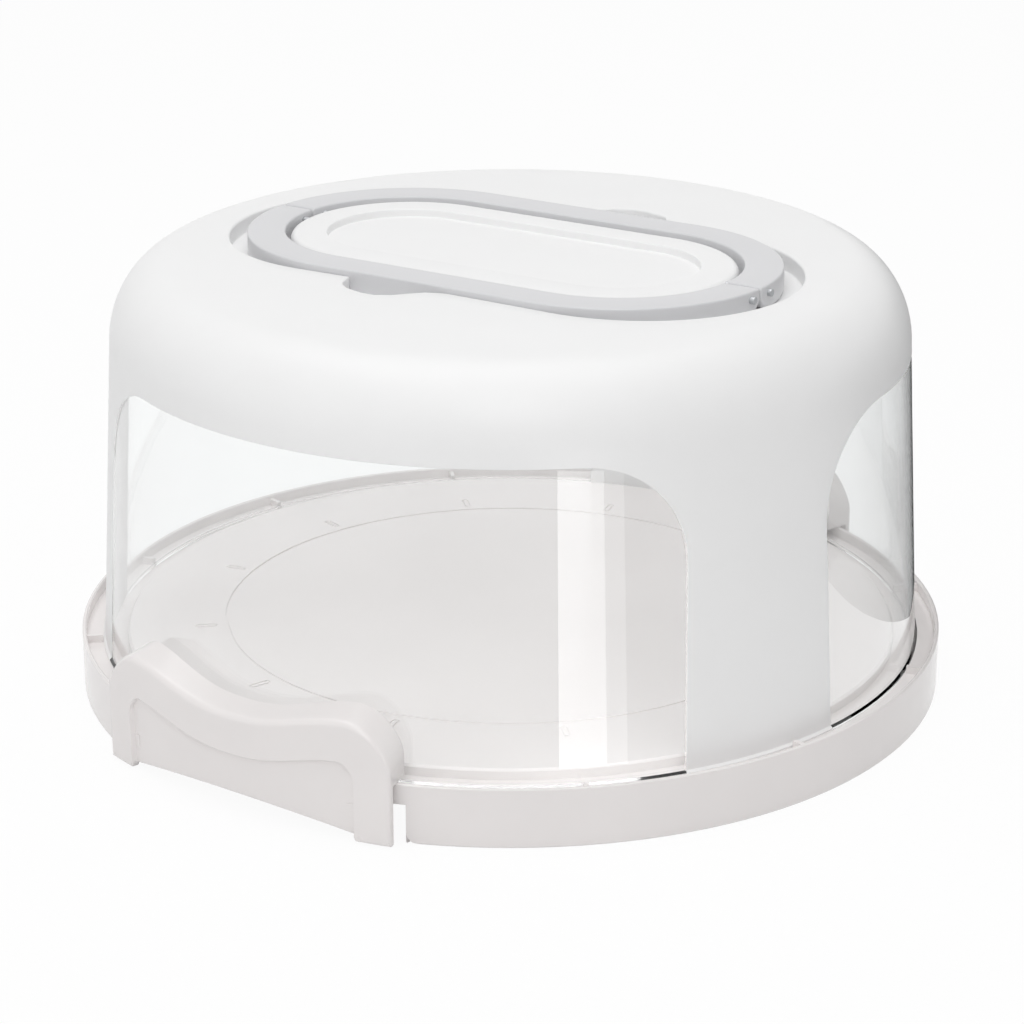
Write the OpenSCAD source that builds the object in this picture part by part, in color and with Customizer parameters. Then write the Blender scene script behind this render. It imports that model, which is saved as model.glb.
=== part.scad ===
// Round cake carrier: a tray, a domed lid with clear windows, two side latches
// and two folding handles. Millimetres, +Z up, the underside's centre at the origin.
// The latches stand on the Y axis.

/* [Tray] */
// Outer diameter of the tray's rim
base_d = 305; // [285:1:340]
// Height of the rim above the table
base_h = 20.5; // [19:0.5:26]
// Thickness of the rim's upright band
rim_t = 1.4; // [1.2:0.1:2.4]
// Thickness of the skirt below the band
skirt_t = 1.8; // [1.4:0.1:3]
// Thickness of the cake plate and the channel's floor
plate_t = 2.2; // [1.6:0.1:3]
// How far the raised cake plate's edge lies inside the rim's outer edge
plate_in = 16; // [14.5:0.5:21]
// How far the plate lies below the rim's top
plate_drop = 0.2; // [0:0.1:2]
// Depth of the channel that the lid stands in
channel_depth = 4; // [3:0.1:5]
// Height of the rim's band above the latch openings
band_h = 7; // [6.5:0.1:8]
// Rounding of the skirt's lower corners beside a latch
notch_corner_r = 4; // [1:0.5:6]
// Diameter of the guide ring for centring a cake
guide_d = 203; // [150:1:230]
// Width of the guide ring's groove
guide_w = 1; // [0.6:0.1:2]
// Depth of the groove and of the slice marks
mark_depth = 0.4; // [0.2:0.1:0.8]
// Number of slice marks
mark_n = 12; // [4:1:16]
// Length of a slice mark
mark_l = 8; // [5:0.5:12]
// Width of a slice mark
mark_w = 2.6; // [2:0.1:4]
// Number of small ribs that centre the lid
lug_n = 12; // [6:1:18]
// Width of a centring rib
lug_w = 1.6; // [1:0.1:4]
// Diameter of the foot ring under the plate
foot_d = 140; // [100:1:180]
// Width of the foot ring
foot_w = 3; // [2:0.5:6]
// Number of stiffening ribs under the plate
rib_n = 12; // [6:1:16]
// Thickness of a stiffening rib
rib_t = 1.6; // [1.2:0.1:3]
// Height of the stiffening ribs above the table
rib_z = 8; // [6:0.5:12]

/* [Lid] */
// How far the lid's wall stands inside the rim's outer edge, at its foot
lid_in = 8; // [7.5:0.1:9.5]
// Wall thickness of the lid
lid_t = 2; // [1.5:0.1:2.5]
// Height of the lid from its foot to its top face
lid_h = 135.5; // [125:0.5:170]
// Lean of the lid's wall, degrees
lid_lean = 3.3; // [2:0.1:5]
// Width of the bead round the lid's foot
bead_w = 0.7; // [0.4:0.1:1]
// Height of the bead
bead_h = 2; // [1:0.1:3]
// Width of the rounded shoulder
shoulder_w = 21.5; // [15:0.5:26]
// Height of the rounded shoulder
shoulder_h = 27; // [20:0.5:29]
// Rise of the crowned top
crown = 0.8; // [0.4:0.1:1.2]
// How far the round lid is turned on the tray, degrees
lid_turn = 4; // [-10:1:10]

/* [Windows] */
// Number of clear windows
window_n = 3; // [3:1:3]
// Width of a frosted pillar between two windows, degrees
pillar_deg = 24; // [18:0.5:34]
// Height of the windows' top edge above the lid's foot
window_h = 104.5; // [90:0.5:107]
// Corner radius of a window
window_r = 34; // [20:1:38]
// Turn of the windows from the handles' long axis, degrees
window_turn = 36.5; // [0:0.5:60]

/* [Handles] */
// Half of the straight length of the handles' ring
ring_straight = 42; // [30:0.5:46]
// Outer radius of the handles' ring at its round ends
ring_r = 56.4; // [50:0.1:60]
// Width of a handle's bar
bar_w = 12; // [9:0.5:13]
// Thickness of a handle's bar
bar_t = 9.2; // [8.4:0.1:9.6]
// How far the handles stand proud of the lid's top face
bar_proud = 3.2; // [2.8:0.1:3.4]
// Distance of a handle's hinge line from the middle
handle_pivot = 5.6; // [5.2:0.1:6.5]
// Depth of a handle's hinge line below the bar's top
handle_pivot_drop = 3.7; // [3.4:0.1:4]
// Turn of the hinge lines from the long axis, degrees
seam_turn = -2; // [-3:0.5:3]
// Diameter of a handle's hinge pin
handle_pin_d = 2.5; // [2:0.1:2.8]
// How far a pin's end shows outside a bar
pin_proud = 1.2; // [0.4:0.1:2]
// Extra length of the pocket at each tip
tip_space = 7; // [4:0.5:9]
// Length of a finger scoop
scoop_l = 34; // [20:1:44]
// Reach of a finger scoop beyond the bar
scoop_w = 8; // [4:0.5:12]
// Offset of a scoop from the middle of its side
scoop_x = 10; // [0:1:16]

/* [Top island] */
// How far the island stands proud of the lid's top face
island_proud = 1.6; // [1:0.1:2.2]
// Gap between a bar and the island
island_gap = 1.3; // [1:0.1:2.5]
// Radius of the dish's round ends
dish_r = 28.5; // [20:0.5:34]
// Depth of the dish
dish_depth = 2; // [1:0.1:3]

/* [Latches] */
// Width of a latch along its face
latch_w = 120; // [100:1:124]
// Curve radius of a latch's face
latch_curve_r = 203; // [185:1:240]
// Thickness of a latch's front wall
latch_t = 2.8; // [2.4:0.1:3]
// Height of the two crests above the rim
crest_h = 20.7; // [16:0.1:26]
// Height of the dip between the crests above the rim
dip_h = 14.1; // [10:0.1:18]
// Rise of the top towards the lid
top_rise = 2.4; // [1:0.1:4]
// Distance of a latch's hinge line from the middle of its face
latch_pivot = 9.4; // [9:0.1:9.8]
// Thickness of the inner lip and of the top
lip_t = 2.4; // [1.8:0.1:3]
// Width of a leg beside the sunk panel
leg_w = 12.5; // [11:0.5:16]
// Depth of the sunk panel
panel_depth = 1.3; // [0.6:0.1:1.4]
// How far the panel's top lies below the latch's outer edge
panel_drop = 13.5; // [10:0.1:16]
// Height of the legs' feet above the table
leg_z = 0.8; // [0.5:0.1:1.2]
// Rise of the arched lower edge at its middle
arch_h = 4.2; // [2:0.1:6]
// Diameter of a latch's hinge pin
latch_pin_d = 2.4; // [2:0.1:2.6]
// Wall round a hinge pin
knuckle_wall = 1; // [0.8:0.1:1.2]
// Length of a latch's hinge pin
latch_pin_l = 14; // [10:0.5:15]

/* [Fits] */
// Gap between pieces that move past each other
gap = 0.3; // [0.25:0.05:0.4]
// Radial clearance of a pin in its bore
pin_clear = 0.05; // [0.03:0.01:0.09]

/* [Hidden] */
$fn = 96;
far = 400;
eps = 0.01;
// How far a window's corner is moved out, so that it meets the straight edges at an angle
kink = 0.05;
// Bevels of the tray: the rim's edges, the skirt's foot and the plate's edge
rim_bevel = 0.4;
skirt_bevel = 0.6;
plate_bevel = 0.8;
// Distance of the slice marks from the guide ring, and the width of their line
mark_gap = 3.5;
mark_line = 0.7;
// Reach of the bosses' webs beyond the hinge line, outwards and up behind it
web_out = 4;
web_in = 5;
// Size of the blocks in the island that the handles' pins are pressed into
seat_l = 6;
seat_w = 4;

rim_r = base_d / 2;
plate_r = rim_r - plate_in;
channel_z = base_h - channel_depth;
plate_z = base_h - plate_drop;
notch_z = base_h - band_h;

lid_z = channel_z + gap;
lid_top = lid_z + lid_h;
lid_foot_r = rim_r - lid_in;
bead_r = lid_foot_r + bead_w;
shoulder_z = lid_top - crown - shoulder_h;
shoulder_r = lid_foot_r - (shoulder_z - lid_z) * tan(lid_lean);
crown_r = shoulder_r - shoulder_w;

bar_top = lid_top + bar_proud;
bar_z = bar_top - bar_t;
pocket_z = bar_z - gap;
hinge_z = bar_top - handle_pivot_drop;
knuckle_r = handle_pivot - gap / 2;
ring_in_r = ring_r - bar_w;
pocket_r = ring_r + 2 * gap;
island_r = ring_in_r - island_gap;
island_top = lid_top + island_proud;
dish_z = island_top - dish_depth;
tip_x = ring_straight + ring_r;
pin_seat_x = ring_straight + island_r - seat_l - 1;

latch_pin_r = latch_pin_d / 2;
ear_r = latch_pin_r + knuckle_wall;
latch_hinge_z = notch_z - gap - ear_r;
face_y = rim_r + gap + latch_t;
latch_hinge_y = face_y - latch_pivot;
curve_y = face_y - latch_curve_r;
lip_r = bead_r + gap;
lip_z = base_h + gap;
crest_z = base_h + crest_h;
dip_z = base_h + dip_h;
// Height of the latch's outer edge at its ends, and the places of the crests and of the panel's round corners
end_rise = 2;
crest_in = 15.5;
corner_l = 6;
corner_h = 8;
end_z = lip_z + lip_t + end_rise;
half_w = latch_w / 2;
panel_w = half_w - leg_w;
crest_s = half_w - crest_in;
end_wall = 3;
// The lower edge between the legs starts this far above their feet, and the feet have this bevel
foot_step = 1.5;
foot_bevel = 1.2;
foot_rise = 3.2;
boss_l = 9;
pin_grip = boss_l - 1;
ear_l = latch_pin_l - 5;
swing_r = gap + sqrt(pow(rim_r - latch_hinge_y, 2) + pow(base_h - latch_hinge_z, 2));
top_tilt = atan(top_rise / (face_y - lip_r));
ear_x = sqrt(rim_r * rim_r - latch_hinge_y * latch_hinge_y);
notch_x = latch_curve_r * sin(half_w / latch_curve_r * 180 / PI) + 1;

// A point on a quarter of a superellipse, from 1 at u = 0 to 0 at u = 1
function drop(u, n) = pow(max(0, 1 - pow(u, n)), 1 / n);
// A smooth rise from 0 at u = 0 to 1 at u = 1
function swell(u) = pow((1 - cos(180 * u)) / 2, 1.3);

// A bar shape with two round ends
module stadium(straight, r, z0, z1) {
    translate([-straight, 0, z0])
        cylinder(r = r, h = z1 - z0);
    translate([straight, 0, z0])
        cylinder(r = r, h = z1 - z0);
    translate([-straight, -r, z0])
        cube([2 * straight, 2 * r, z1 - z0]);
}

// A round bar along X
module bar_x(r, x0, x1, y, z) {
    translate([x0, y, z])
        rotate([0, 90, 0])
            cylinder(r = r, h = x1 - x0, $fn = 48);
}

// Tray

// The tray's section, turned round the Z axis
function tray_section() = [
    [0, plate_z - plate_t], [plate_r - plate_t, plate_z - plate_t],
    [plate_r - plate_t, channel_z - plate_t], [rim_r - skirt_t, channel_z - plate_t],
    [rim_r - skirt_t, 0], [rim_r - skirt_bevel, 0], [rim_r, skirt_bevel],
    [rim_r, base_h - rim_bevel], [rim_r - rim_bevel, base_h],
    [rim_r - rim_t + rim_bevel, base_h],
    [rim_r - rim_t, base_h - rim_bevel], [rim_r - rim_t, channel_z],
    [plate_r, channel_z], [plate_r, plate_z - plate_bevel], [plate_r - plate_bevel, plate_z],
    [0, plate_z]
];

// The opening in the skirt below the band, at one latch
module notch_cut() {
    translate([-notch_x, -far / 2, -1])
        cube([2 * notch_x, far / 2 - plate_r + 2, notch_z + 1]);
    for (side = [-1, 1])
        difference() {
            translate([side * (notch_x + notch_corner_r / 2), -rim_r, notch_corner_r / 2 - 1])
                cube([notch_corner_r, latch_w / 2, notch_corner_r + 2], center = true);
            translate([side * (notch_x + notch_corner_r), -rim_r - latch_w / 2, notch_corner_r])
                rotate([-90, 0, 0])
                    cylinder(r = notch_corner_r, h = latch_w, $fn = 48);
            translate([side * (notch_x + notch_corner_r / 2), -rim_r, 1.5 * notch_corner_r])
                cube([2 * notch_corner_r, latch_w / 2, notch_corner_r], center = true);
        }
}

// Two bosses under the channel that hold one latch's pins
module latch_bosses() {
    for (side = [0, 1])
        mirror([side, 0, 0])
            difference() {
                union() {
                    bar_x(ear_r - gap / 3, ear_x - gap - boss_l, ear_x - gap, -latch_hinge_y, latch_hinge_z);
                    translate([ear_x - gap - boss_l, -latch_hinge_y - ear_r + gap, latch_hinge_z])
                        cube([boss_l, ear_r + web_out, notch_z - latch_hinge_z + eps]);
                    translate([ear_x - gap - boss_l, -latch_hinge_y, latch_hinge_z - ear_r + gap])
                        cube([boss_l, web_in, channel_z - plate_t - latch_hinge_z + ear_r - gap + eps]);
                }
                bar_x(latch_pin_r, ear_x - gap - boss_l - 1, ear_x + 1, -latch_hinge_y, latch_hinge_z);
            }
}

// One slice mark, an outline along the +X direction
module slice_mark() {
    mark_r = guide_d / 2 + mark_gap + mark_w / 2;
    straight = (mark_l - mark_w) / 2;
    translate([mark_r + straight, 0, 0])
        difference() {
            stadium(straight, mark_w / 2, plate_z - mark_depth, plate_z + 1);
            stadium(straight, mark_w / 2 - mark_line, plate_z - 2, plate_z + 2);
        }
}

module base_tray() color([0.95, 0.945, 0.945]) {
    difference() {
        union() {
            difference() {
                rotate_extrude($fn = 180)
                    polygon(tray_section());
                notch_cut();
                rotate([0, 0, 180])
                    notch_cut();
            }
            difference() {
                cylinder(d = foot_d + foot_w, h = plate_z - 1);
                translate([0, 0, -1])
                    cylinder(d = foot_d - foot_w, h = plate_z + 1);
            }
            for (i = [0 : rib_n - 1])
                rotate([0, 0, (i + 0.5) * 360 / rib_n])
                    translate([foot_d / 2, -rib_t / 2, rib_z])
                        cube([plate_r - plate_t / 2 - foot_d / 2, rib_t, plate_z - 1 - rib_z]);
            for (i = [0 : lug_n - 1])
                rotate([0, 0, (i + 0.5) * 360 / lug_n])
                    translate([bead_r + gap, -lug_w / 2, channel_z - 1])
                        cube([rim_r - rim_t / 2 - bead_r - gap, lug_w, channel_depth - rim_bevel]);
            latch_bosses();
            rotate([0, 0, 180])
                latch_bosses();
        }
        rotate_extrude($fn = 180)
            translate([guide_d / 2 - guide_w / 2, plate_z - mark_depth])
                square([guide_w, 1]);
        for (i = [0 : mark_n - 1])
            rotate([0, 0, (i + 0.5) * 360 / mark_n])
                slice_mark();
    }
}

// Lid

// The dome's outline from the shoulder to the middle, shrunk by t
function dome_line(t) = concat(
    [for (a = [0 : 10 : 80])
        [crown_r - t / 2 + (shoulder_w - t / 2) * cos(a), shoulder_z + (shoulder_h - t) * sin(a)]],
    [for (i = [0 : 2])
        [crown_r * (1 - i / 3), lid_top - t - crown * pow(1 - i / 3, 2)]],
    [[0, lid_top - t]]);

function backwards(list) = [for (i = [len(list) - 1 : -1 : 0]) list[i]];

// The lid's section, turned round the Z axis: the wall with its foot bead, and the dome
module lid_form() {
    rotate_extrude($fn = 180)
        polygon(concat(
            [[lid_foot_r - lid_t, lid_z], [bead_r, lid_z], [bead_r, lid_z + bead_h - bead_w],
             [lid_foot_r - bead_h * tan(lid_lean), lid_z + bead_h]],
            dome_line(0), backwards(dome_line(lid_t))));
}

// The solid space under the dome's skin, with the skin cut down by t
module dome_space(t) {
    rotate_extrude($fn = 180)
        polygon(concat([[0, shoulder_z], [shoulder_r - t, shoulder_z]],
            [for (i = [1 : 12]) dome_line(t)[i]]));
}

// The space that one window takes out of the wall, centred on the +X direction
module window_space() {
    inner_deg = 180 / window_n - pillar_deg / 2 - asin(window_r / lid_foot_r);
    side = [for (t = [lid_foot_r / 2, 1.5 * lid_foot_r])
        [t * cos(inner_deg) - window_r * sin(inner_deg), t * sin(inner_deg) + window_r * cos(inner_deg)]];
    difference() {
        translate([0, 0, lid_z - 5])
            linear_extrude(height = window_h + 5)
                polygon([[side[0][0], -side[0][1]], [side[1][0], -side[1][1]], [3 * lid_foot_r, 0],
                         side[1], side[0]]);
        for (half = [0, 1])
            mirror([0, half, 0])
                rotate([0, 0, inner_deg])
                    translate([0, kink, lid_z + window_h - window_r + kink])
                        difference() {
                            cube([2 * lid_foot_r, window_r + 5, window_r + 5]);
                            rotate([0, 90, 0])
                                cylinder(r = window_r, h = 5 * lid_foot_r, center = true);
                        }
    }
}

module window_place(i) {
    rotate([0, 0, window_turn + i * 360 / window_n])
        children();
}

// One clear pane, part of the lid's wall
module window_pane(i) color([0.85, 0.93, 0.97, 0.5]) {
    rotate([0, 0, lid_turn])
        intersection() {
            lid_form();
            window_place(i)
                window_space();
        }
}

// A finger scoop beside the front bar: steep at its outer end, running out at the other
module scoop() {
    translate([-scoop_x, -pocket_r, 0])
        linear_extrude(height = far)
            polygon([[-scoop_l / 2, 2], [-scoop_l / 2, -scoop_w + 3], [-scoop_l / 2 + 1, -scoop_w + 1],
                     [-scoop_l / 2 + 3, -scoop_w], [-scoop_l / 2 + 8, -scoop_w],
                     [scoop_l / 2 - 8, -scoop_w / 3], [scoop_l / 2, 0], [scoop_l / 2, 2]]);
}

// What both scoops take out, or with a wall the blocks that they are sunk into
module scoops(wall) {
    for (turn = [0, 180])
        rotate([0, 0, turn])
            if (wall > 0)
                translate([-scoop_x - scoop_l / 2 - wall, -pocket_r - scoop_w - wall, pocket_z - wall])
                    cube([scoop_l + 2 * wall, scoop_w + wall + 1, far]);
            else
                translate([0, 0, pocket_z])
                    scoop();
}

// The pocket's walls and floor, under the dome's skin
module pocket_walls() {
    straight_out = ring_straight + tip_space;
    intersection() {
        dome_space(lid_t / 4);
        difference() {
            union() {
                stadium(straight_out, pocket_r + lid_t, pocket_z - lid_t, far);
                scoops(lid_t);
            }
            stadium(straight_out, pocket_r, pocket_z, far);
            stadium(ring_straight, island_r - lid_t / 2, pocket_z - lid_t - 1, far);
            scoops(0);
        }
    }
}

// The island inside the handles, hollow underneath, with its dish
module island() {
    difference() {
        stadium(ring_straight, island_r, pocket_z - lid_t, island_top);
        stadium(ring_straight, island_r - lid_t, pocket_z - 2 * lid_t, dish_z - lid_t);
        stadium(ring_straight, dish_r, dish_z, island_top + 1);
    }
    for (turn = [0, 180])
        rotate([0, 0, seam_turn + turn])
            translate([pin_seat_x - 1, -handle_pivot - seat_w, pocket_z - lid_t])
                cube([seat_l, 2 * (handle_pivot + seat_w), dish_z - lid_t / 2 - pocket_z + lid_t]);
}

module lid_shell() color([0.95, 0.95, 0.95]) {
    rotate([0, 0, lid_turn])
        difference() {
            union() {
                difference() {
                    lid_form();
                    stadium(ring_straight + tip_space, pocket_r, lid_top - lid_t - 5, far);
                    scoops(0);
                }
                pocket_walls();
                island();
            }
            for (i = [0 : window_n - 1])
                window_place(i)
                    window_space();
            handle_pin_holes();
        }
}

module handle_pin_holes() {
    rotate([0, 0, seam_turn])
        for (x = [0, 1], y = [-1, 1])
            mirror([x, 0, 0])
                bar_x(handle_pin_d / 2, pin_seat_x, far / 4, y * handle_pivot, hinge_z);
}

// Handles

// One folding handle, the half of the ring on the -Y side
module handle() {
    bore_r = handle_pin_d / 2 + pin_clear;
    difference() {
        intersection() {
            difference() {
                stadium(ring_straight, ring_r, bar_z, bar_top);
                stadium(ring_straight, ring_in_r, bar_z - 1, bar_top + 1);
            }
            rotate([0, 0, seam_turn])
                union() {
                    translate([-far / 2, -far / 2 - handle_pivot, 0])
                        cube([far, far / 2, far]);
                    bar_x(knuckle_r, -far / 2, far / 2, -handle_pivot, hinge_z);
                }
        }
        rotate([0, 0, seam_turn])
            bar_x(bore_r, -far / 2, far / 2, -handle_pivot, hinge_z);
    }
}

module handle_at(turn) color([0.84, 0.84, 0.85]) {
    rotate([0, 0, lid_turn + turn])
        handle();
}

// A hinge pin of a handle, at the tip given by the two signs
module handle_pin(x, y) color([0.75, 0.76, 0.78]) {
    rotate([0, 0, lid_turn + seam_turn])
        mirror([x < 0 ? 1 : 0, 0, 0])
            bar_x(handle_pin_d / 2, pin_seat_x, tip_x + pin_proud, y * handle_pivot, hinge_z);
}

// Latches

// Height of the latch's outer top edge at the distance s from its middle
function edge_z(s) = abs(s) < crest_s
    ? dip_z + (crest_z - dip_z) * swell(abs(s) / crest_s)
    : end_z + (crest_z - end_z) * drop((abs(s) - crest_s) / (half_w - crest_s), 1.7);

// Height of the sunk panel's top edge
function panel_z(s) = edge_z(min(abs(s), crest_s)) - panel_drop
    - (abs(s) > panel_w - corner_l
        ? corner_h * (1 - drop((min(abs(s), panel_w) - panel_w + corner_l) / corner_l, 2))
        : 0);

// Distances along the face, closer together towards both ends
function along(w, n) = [for (i = [0 : n]) -w * cos(180 * i / n)];

// The place across the latch at the distance s along its face
function face_x(s) = latch_curve_r * sin(s / latch_curve_r * 180 / PI);

// Distance of a latch's face from the middle plane, at the place x along it
function face_at(x) = curve_y + sqrt(latch_curve_r * latch_curve_r - x * x);

// An outline in x and z, carried inwards along Y from 5 mm outside the face
module inwards(points, depth) {
    translate([0, depth - 5, 0])
        rotate([90, 0, 0])
            linear_extrude(height = depth)
                polygon(points);
}

// All that lies under the latch's waved top, which rises towards the lid
module under_top(lower) {
    edge = [for (s = along(half_w + gap, 30))
        let(x = face_x(s))
        [x, (edge_z(s) - lower - tan(top_tilt) * (face_y - face_at(x))) * cos(top_tilt)]];
    last = len(edge) - 1;
    translate([0, -face_y, 0])
        rotate([top_tilt, 0, 0])
            inwards(concat([[edge[0][0] - 4, edge[0][1]]], edge, [[edge[last][0] + 4, edge[last][1]],
                [edge[last][0] + 4, -20], [edge[0][0] - 4, -20]]), 45);
}

// A round block about the centre of the face's curve
module curved(r) {
    translate([0, -curve_y, -5])
        cylinder(r = r, h = 2 * base_h + crest_h, $fn = 180);
}

// The sector of the face's curve out to the distance s on both sides
module sector(s) {
    a = s / latch_curve_r * 180 / PI;
    reach = latch_curve_r + 20;
    translate([0, -curve_y, -6])
        linear_extrude(height = 2 * base_h + crest_h + 2)
            polygon([[0, 0], [-reach * sin(a), -reach * cos(a)], [reach * sin(a), -reach * cos(a)]]);
}

// The sunk panel
module panel() {
    w = face_x(panel_w);
    difference() {
        translate([0, -face_y, 0])
            inwards(concat([for (s = along(panel_w, 24)) [face_x(s), panel_z(s)]], [[w, -1], [-w, -1]]), 25);
        curved(latch_curve_r - panel_depth);
    }
}

// The space under the feet and under the arched lower edge
module under_feet() {
    w = face_x(panel_w);
    translate([0, -face_y, 0])
        inwards(concat([[-far, -20], [-far, leg_z], [-w, leg_z]],
            [for (s = along(panel_w, 12))
                [face_x(s), leg_z + foot_step + arch_h * (1 - pow(s / panel_w, 2))]],
            [[w, leg_z], [far, leg_z], [far, -20]]), 60);
    translate([0, -curve_y, 0])
        rotate_extrude($fn = 180)
            polygon([[latch_curve_r - foot_bevel, leg_z - 0.5], [latch_curve_r + 2, leg_z - 0.5],
                     [latch_curve_r + 2, leg_z + foot_rise], [latch_curve_r - foot_bevel, leg_z]]);
}

// The knuckle inside one leg, round the pin
module latch_ear() {
    x0 = ear_x + gap;
    x1 = x0 + ear_l;
    bar_x(ear_r, x0, x1, -latch_hinge_y, latch_hinge_z);
    translate([0, 0, latch_hinge_z - ear_r])
        linear_extrude(height = 2 * ear_r)
            polygon([[x0, -latch_hinge_y], [x1, -latch_hinge_y],
                     [x1, -face_at(x1) + latch_t / 2], [x0, -face_at(x0) + latch_t / 2]]);
}

// The hook: the front wall, the top and the lip, hollowed so that it swings past the rim
module latch_form() {
    difference() {
        intersection() {
            curved(latch_curve_r);
            sector(half_w);
            under_top(0);
        }
        translate([0, 0, -6])
            cylinder(r = lip_r, h = 3 * crest_z, $fn = 180);
        intersection() {
            curved(latch_curve_r - latch_t);
            union() {
                translate([-far / 2, -far / 2, -far + lip_z])
                    cube(far);
                bar_x(swing_r, -half_w, half_w, -latch_hinge_y, latch_hinge_z);
            }
        }
        difference() {
            intersection() {
                curved(latch_curve_r - latch_t);
                sector(half_w - end_wall);
                under_top(lip_t + 1);
            }
            translate([0, 0, -6])
                cylinder(r = lip_r + lip_t, h = 3 * crest_z, $fn = 180);
        }
        panel();
        under_feet();
    }
}

// One latch, on the -Y side
module latch() {
    bore_end = ear_x - gap - pin_grip + latch_pin_l;
    difference() {
        union() {
            latch_form();
            for (side = [0, 1])
                mirror([side, 0, 0])
                    latch_ear();
        }
        for (side = [0, 1])
            mirror([side, 0, 0])
                bar_x(latch_pin_r + pin_clear, ear_x - 1, bore_end, -latch_hinge_y, latch_hinge_z);
        bar_x(ear_r + gap, -ear_x, ear_x, -latch_hinge_y, latch_hinge_z);
    }
}

module latch_at(turn) color([0.95, 0.94, 0.94]) {
    rotate([0, 0, turn])
        latch();
}

// A hinge pin of a latch, at the corner given by the two signs
module latch_pin(x, y) color([0.75, 0.76, 0.78]) {
    x0 = ear_x - gap - pin_grip;
    mirror([x < 0 ? 1 : 0, 0, 0])
        bar_x(latch_pin_r, x0, x0 + latch_pin_l - gap, y * latch_hinge_y, latch_hinge_z);
}

base_tray();
lid_shell();
window_pane(0);  // window_1
window_pane(1);  // window_2
window_pane(2);  // window_3
handle_at(0);  // handle_front
handle_at(180);  // handle_rear
latch_at(0);  // latch_front
latch_at(180);  // latch_rear
handle_pin(-1, -1);  // handle_pin_1
handle_pin(1, -1);  // handle_pin_2
handle_pin(-1, 1);  // handle_pin_3
handle_pin(1, 1);  // handle_pin_4
latch_pin(-1, -1);  // latch_pin_1
latch_pin(1, -1);  // latch_pin_2
latch_pin(-1, 1);  // latch_pin_3
latch_pin(1, 1);  // latch_pin_4
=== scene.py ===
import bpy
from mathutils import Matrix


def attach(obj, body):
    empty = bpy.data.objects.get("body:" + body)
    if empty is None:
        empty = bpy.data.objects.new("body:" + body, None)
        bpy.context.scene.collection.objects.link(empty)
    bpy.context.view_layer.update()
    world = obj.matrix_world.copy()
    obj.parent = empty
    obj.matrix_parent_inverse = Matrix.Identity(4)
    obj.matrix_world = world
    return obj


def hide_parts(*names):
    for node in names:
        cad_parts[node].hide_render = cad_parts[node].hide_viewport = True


bl_info = {
    "name": "Round cake carrier",
    "version": (1, 0, 0),
    "blender": (4, 5, 0),
    "location": "View3D > Sidebar > Carrier",
    "description": "Dresses the exact frame of a round cake carrier in its finer pieces and its studio",
    "category": "Add Mesh",
}

import bmesh
import bpy
import numpy as np
from bpy.props import FloatProperty, FloatVectorProperty, PointerProperty
from bpy.types import Operator, Panel, PropertyGroup
from mathutils import Matrix

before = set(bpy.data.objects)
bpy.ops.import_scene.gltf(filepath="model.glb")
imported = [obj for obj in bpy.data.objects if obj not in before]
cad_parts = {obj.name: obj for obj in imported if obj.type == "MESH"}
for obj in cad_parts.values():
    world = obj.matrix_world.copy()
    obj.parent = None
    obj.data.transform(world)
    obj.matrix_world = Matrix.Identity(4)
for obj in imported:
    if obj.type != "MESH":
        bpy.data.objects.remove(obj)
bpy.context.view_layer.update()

MM = 0.001

# Sizes in millimetres and turns in degrees, as the exact frame has them. Those of the lid and the handles are in
# the lid's own directions, LID_TURN round from the frame's.
LID_TURN = 4.0
LID_FOOT_Z = 16.8
BEAD = 0.7
CROWN_REACH = 116.8
WINDOW_TURN = 36.5
POCKET_Z = 146.0
POCKET_HALF = 49.0
POCKET_R = 57.0
DISH_R = 28.5
RING_HALF = 42.0
RING_R = 56.4
BAR_LOW_Z = 146.3
HINGE_IN = 5.6
HINGE_Z = 151.8
KNUCKLE_R = 5.45
SEAM_TURN = -2.0
FACE_Y = 155.6
FACE_R = 203.0
LIP_R = 145.5
LIP_Z = 20.8
LIP_T = 2.4
LATCH_T = 2.8
LATCH_HINGE_Y = 146.2
LATCH_HINGE_Z = 11.0
SWING_R = 11.7
CREST_IN = 15.5
TOP_RISE = 2.4
END_RISE = 2.0
END_WALL = 3.0
PANEL_HALF = 47.5
PANEL_DROP = 13.5
CORNER_L = 6.0
CORNER_H = 8.0
LEG_Z = 0.8
ARCH_H = 4.2
FOOT_STEP = 1.5
EAR_R = 2.2
EAR_X = (43.7, 52.7)

# The same for forms that follow the photograph more closely than the exact frame does, inside its box
LID_TOP_Z = 153.2
CROWN = 1.7
BEAD_H = 1.3
BAR_TOP_Z = 154.6
ISLAND_R = 41.3
ISLAND_TOP_Z = 153.6
DISH_DEPTH = 2.7
SCOOP_ALONG = (-11, -7.5, -4, 0, 4, 9, 14, 21, 24.5, 26.3, 27.6)
SCOOP_PUSH = (0, 0.9, 2.4, 6.2, 10.4, 13, 13, 11, 8.6, 6, 0)
PANEL_DEPTH = 1.6

# Fillets, rounded edges and small gaps of the finer meshes, in millimetres
ISLAND_ROUND = 2.4
DISH_FOOT = 0.3
DISH_EDGE = 0.4
POCKET_FOOT = 0.6
POCKET_EDGE = 0.8
PANE_DROP = 0.06
PANE_BACK = 0.12
PANEL_STEP = 0.7
FOOT_ROUND = 1.0
END_ROUND = 1.2
END_SLOPE = 0.6
LIP_ROUND = 0.8
LEAST_T = 1.0
# A handle's end: how far each ring of points lies back from the knuckle's circle, and how far it is drawn in
TIP_EDGE = ((0.0, 0.5), (0.15, 0.15), (0.5, 0.0))

PANE_GAP_DEG = 0.03
SHARP_DEG = 38

# Powers of the superellipses of the shoulder and a latch's end, and of the rise from a latch's dip to its crests
SHOULDER_POWER = 1.95
END_POWER = 1.7
DIP_POWER = 1.3

# Distances in metres within which points and edges of a mesh are merged
MERGE = 4e-6
SLIVER = 1e-6

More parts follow.
